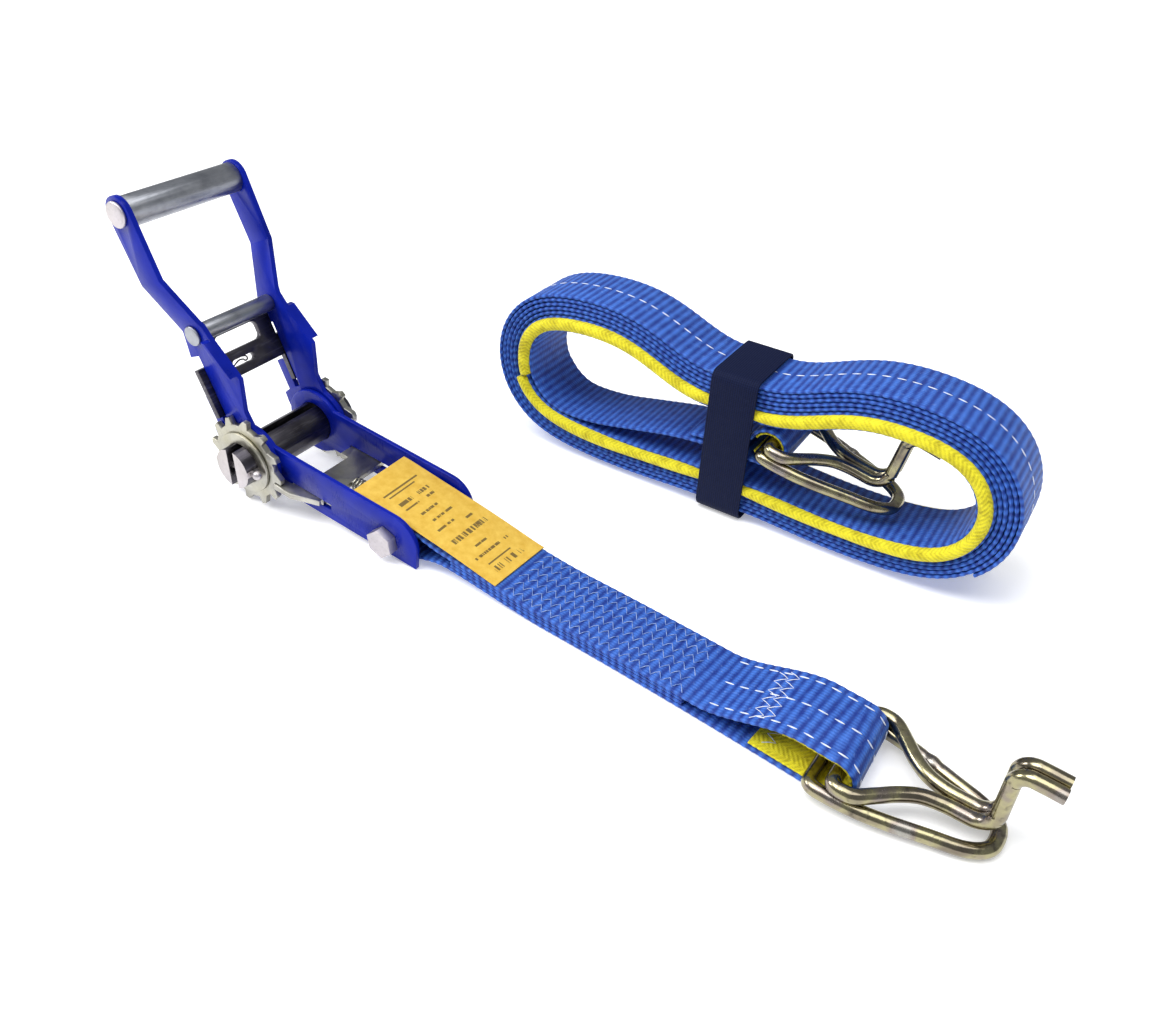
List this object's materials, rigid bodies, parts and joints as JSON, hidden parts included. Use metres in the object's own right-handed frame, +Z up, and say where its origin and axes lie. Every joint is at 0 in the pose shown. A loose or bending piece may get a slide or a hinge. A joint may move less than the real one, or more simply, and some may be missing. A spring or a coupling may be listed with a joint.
{
  "type": "ratchet tie down",
  "caption": "Blue hand ratchet on a short sewn strap with wire hook and keeper, and a matching long strap wound into a banded hank",
  "frame": {"origin": "middle of the whole set's bounding box, on the ground it lies on", "axes": "+Z up; +X from the ratchet's spindle along its frame and short strap to the hook; +Y along the spindle, towards the hank"},
  "size_m": [0.4368, 0.1862, 0.1456],
  "materials": {
    "frame_paint": "gloss royal blue powder coat",
    "zinc_steel": "bright zinc-plated pressed steel",
    "grip_steel": "plain steel tube, satin",
    "dark_steel": "dark oiled steel",
    "hook_wire": "bent round wire, yellowish passivated zinc",
    "webbing": "ribbed blue polyester webbing with white tracer threads",
    "wear_cloth": "yellow woven wear sleeve",
    "label_cloth": null,
    "elastic": "navy elastic band"
  },
  "bodies": {
    "frame": {"frame_plate_left": "frame_paint", "frame_plate_right": "frame_paint", "spring_seat": "dark_steel", "anchor_bolt": "zinc_steel", "anchor_nut": "zinc_steel", "anchor_sleeve": "zinc_steel", "frame_pawl_spring": "zinc_steel", "short_strap": "webbing", "short_strap_plies": "webbing", "rating_label": "label_cloth", "short_strap_pad": "wear_cloth"},
    "handle": {"handle_plate_left": "frame_paint", "handle_plate_right": "frame_paint", "grip_tube": "grip_steel", "grip_rivet": "zinc_steel", "middle_bar": "grip_steel", "drive_pawl_spring": "zinc_steel"},
    "drive_pawl": {"drive_pawl": "dark_steel"},
    "frame_pawl": {"frame_pawl": "zinc_steel"},
    "spool": {"spindle_front": "dark_steel", "spindle_back": "dark_steel", "wheel_left": "zinc_steel", "wheel_right": "zinc_steel", "washers": "zinc_steel", "cotter_pins": "zinc_steel"},
    "hook": {"hook": "hook_wire"},
    "keeper": {"keeper": "hook_wire"},
    "hank": {"hank_webbing": "webbing", "hank_sleeve": "wear_cloth", "hank_loop_pad": "wear_cloth", "elastic_band": "elastic"},
    "hank_hook": {"hank_hook": "hook_wire"},
    "hank_keeper": {"hank_keeper": "hook_wire"}
  },
  "joints": [
    {"name": "handle_swing", "type": "hinge", "parent": "frame", "child": "handle", "pos_m": [-0.1642, -0.0505, 0.02358], "axis": [0, 1, 0], "range_deg": [-60, 90]},
    {"name": "spool_turn", "type": "hinge", "parent": "frame", "child": "spool", "pos_m": [-0.1642, -0.0505, 0.02358], "axis": [0, 1, 0], "continuous": true},
    {"name": "drive_pawl_slide", "type": "slide", "parent": "handle", "child": "drive_pawl", "axis": [-0.3907, 0, 0.9205], "range_m": [-0.004, 0.004], "stiffness_N_per_m": 800, "deforming": ["drive_pawl_spring"]},
    {"name": "frame_pawl_slide", "type": "slide", "parent": "frame", "child": "frame_pawl", "axis": [0.9936, 0, -0.1132], "range_m": [0, 0.005], "stiffness_N_per_m": 300, "springref_m": -0.003, "deforming": ["frame_pawl_spring"]},
    {"name": "hook_swing", "type": "hinge", "parent": "frame", "child": "hook", "pos_m": [0.1464, -0.06626, 0.0127], "axis": [0, 1, 0], "range_deg": [-25, 0]},
    {"name": "keeper_swing", "type": "hinge", "parent": "frame", "child": "keeper", "pos_m": [0.1382, -0.06626, 0.0069], "axis": [0, 1, 0], "range_deg": [0, 10]},
    {"name": "hank_lift", "type": "slide", "parent": "frame", "child": "hank", "axis": [0, 0, 1], "range_m": [0, 0.2]},
    {"name": "hank_hook_swing", "type": "hinge", "parent": "hank", "child": "hank_hook", "pos_m": [0.0527, 0.07, 0.0487], "axis": [0, 1, 0], "range_deg": [-1, 0]},
    {"name": "hank_keeper_swing", "type": "hinge", "parent": "hank", "child": "hank_keeper", "pos_m": [0.0489, 0.07, 0.0433], "axis": [0, 1, 0], "range_deg": [0, 4]}
  ]
}
